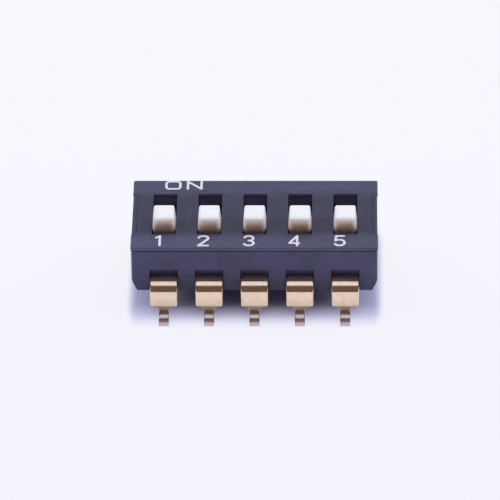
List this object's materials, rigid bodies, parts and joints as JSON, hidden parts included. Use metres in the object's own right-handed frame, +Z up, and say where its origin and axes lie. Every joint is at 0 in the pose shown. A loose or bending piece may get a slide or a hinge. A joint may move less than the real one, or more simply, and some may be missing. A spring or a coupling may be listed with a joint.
{
  "type": "dip switch",
  "caption": "Surface-mount slide switch row: black moulded housing, white raised knobs in slots, and gold-plated gull-wing terminals for a circuit board.",
  "frame": {"origin": "centre of the switch on the circuit board's surface, the plane of the solder feet's undersides", "axes": "+X along the row from switch 1 to the last, +Y towards the ON side, +Z up from the board"},
  "size_m": [0.0138, 0.0098, 0.0049],
  "materials": {
    "base_plastic": "black glass-filled thermoplastic, fine moulded satin",
    "cover_plastic": "black thermoplastic, fine moulded satin, white pad-printed marks",
    "knob_plastic": "white moulded thermoplastic, satin",
    "terminal_gold": "gold flash over nickel on stamped copper alloy, bright",
    "contact_gold": "gold-plated spring alloy, bright"
  },
  "bodies": {
    "housing": {"base": "base_plastic", "cover": "cover_plastic", "terminal_front_1": "terminal_gold", "terminal_front_2": "terminal_gold", "terminal_front_3": "terminal_gold", "terminal_front_4": "terminal_gold", "terminal_front_5": "terminal_gold", "terminal_rear_1": "terminal_gold", "terminal_rear_2": "terminal_gold", "terminal_rear_3": "terminal_gold", "terminal_rear_4": "terminal_gold", "terminal_rear_5": "terminal_gold"},
    "slider_1": {"actuator_1": "knob_plastic", "sliding_contact_1": "contact_gold"},
    "slider_2": {"actuator_2": "knob_plastic", "sliding_contact_2": "contact_gold"},
    "slider_3": {"actuator_3": "knob_plastic", "sliding_contact_3": "contact_gold"},
    "slider_4": {"actuator_4": "knob_plastic", "sliding_contact_4": "contact_gold"},
    "slider_5": {"actuator_5": "knob_plastic", "sliding_contact_5": "contact_gold"}
  },
  "joints": [
    {"name": "switch_1_slide", "type": "slide", "parent": "housing", "child": "slider_1", "axis": [0, 1, 0], "range_m": [0, 0.0017]},
    {"name": "switch_2_slide", "type": "slide", "parent": "housing", "child": "slider_2", "axis": [0, 1, 0], "range_m": [0, 0.0017]},
    {"name": "switch_3_slide", "type": "slide", "parent": "housing", "child": "slider_3", "axis": [0, 1, 0], "range_m": [0, 0.0017]},
    {"name": "switch_4_slide", "type": "slide", "parent": "housing", "child": "slider_4", "axis": [0, 1, 0], "range_m": [0, 0.0017]},
    {"name": "switch_5_slide", "type": "slide", "parent": "housing", "child": "slider_5", "axis": [0, 1, 0], "range_m": [0, 0.0017]}
  ]
}
